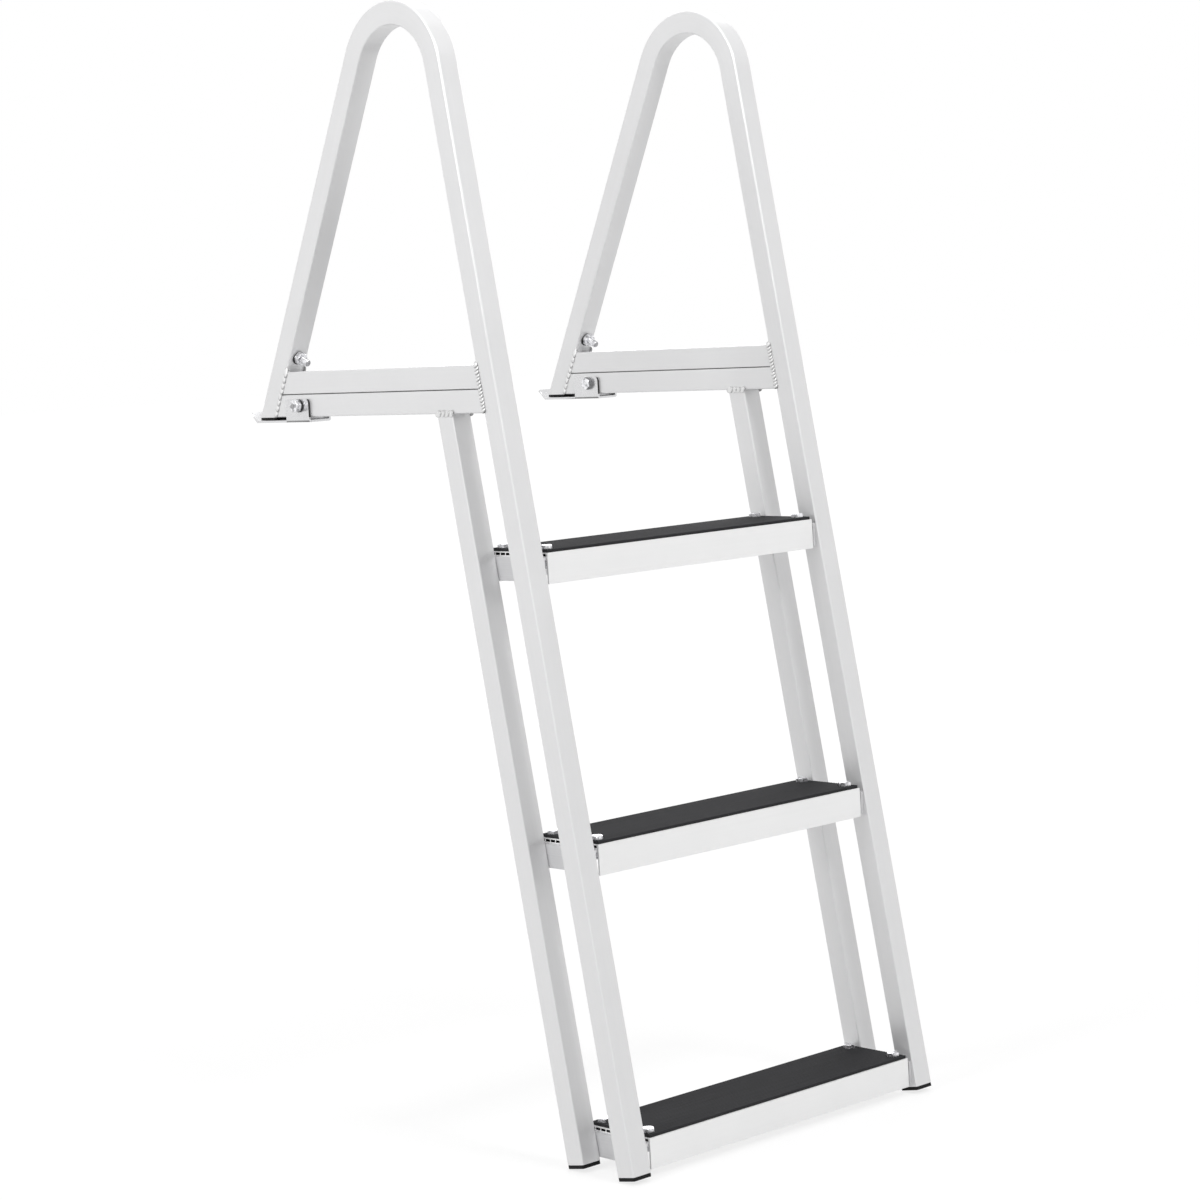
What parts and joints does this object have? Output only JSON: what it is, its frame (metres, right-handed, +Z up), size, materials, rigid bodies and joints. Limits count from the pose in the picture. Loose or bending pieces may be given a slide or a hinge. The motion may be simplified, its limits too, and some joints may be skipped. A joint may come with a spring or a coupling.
{
  "type": "dock ladder",
  "caption": "Fixed dock ladder: two looped square-tube side rails with twin level bars, flat padded steps between them and two bolted brackets that sit on the dock.",
  "frame": {"origin": "middle of the left dock bracket's flat underside, on the top of the dock", "axes": "+X from the left side to the right, +Y from the water towards the dock, +Z up"},
  "size_m": [0.4844, 0.563, 1.221],
  "materials": {
    "tube_aluminium": "satin extruded",
    "step_aluminium": "satin extruded",
    "angle_aluminium": "mill",
    "step_rubber": "matte ribbed",
    "black_plastic": "matte",
    "bracket_steel": "bright, bent"
  },
  "bodies": {
    "root": {"side_rail_left": "tube_aluminium", "side_rail_right": "tube_aluminium", "rear_leg_left": "tube_aluminium", "rear_leg_right": "tube_aluminium", "lower_bar_left": "tube_aluminium", "lower_bar_right": "tube_aluminium", "upper_bar_left": "tube_aluminium", "upper_bar_right": "tube_aluminium", "foot_cap_front_left": "black_plastic", "foot_cap_front_right": "black_plastic", "foot_cap_rear_left": "black_plastic", "foot_cap_rear_right": "black_plastic", "heel_cap_left": "black_plastic", "heel_cap_right": "black_plastic", "dock_bracket_left": "bracket_steel", "dock_bracket_right": "bracket_steel", "step_angle_top_left": "angle_aluminium", "step_angle_top_right": "angle_aluminium", "step_angle_middle_left": "angle_aluminium", "step_angle_middle_right": "angle_aluminium", "step_angle_bottom_left": "angle_aluminium", "step_angle_bottom_right": "angle_aluminium", "step_tread_top": "step_aluminium", "step_pad_top": "step_rubber", "step_tread_middle": "step_aluminium", "step_pad_middle": "step_rubber", "step_tread_bottom": "step_aluminium", "step_pad_bottom": "step_rubber", "bracket_bolts": "bracket_steel"}
  },
  "joints": []
}
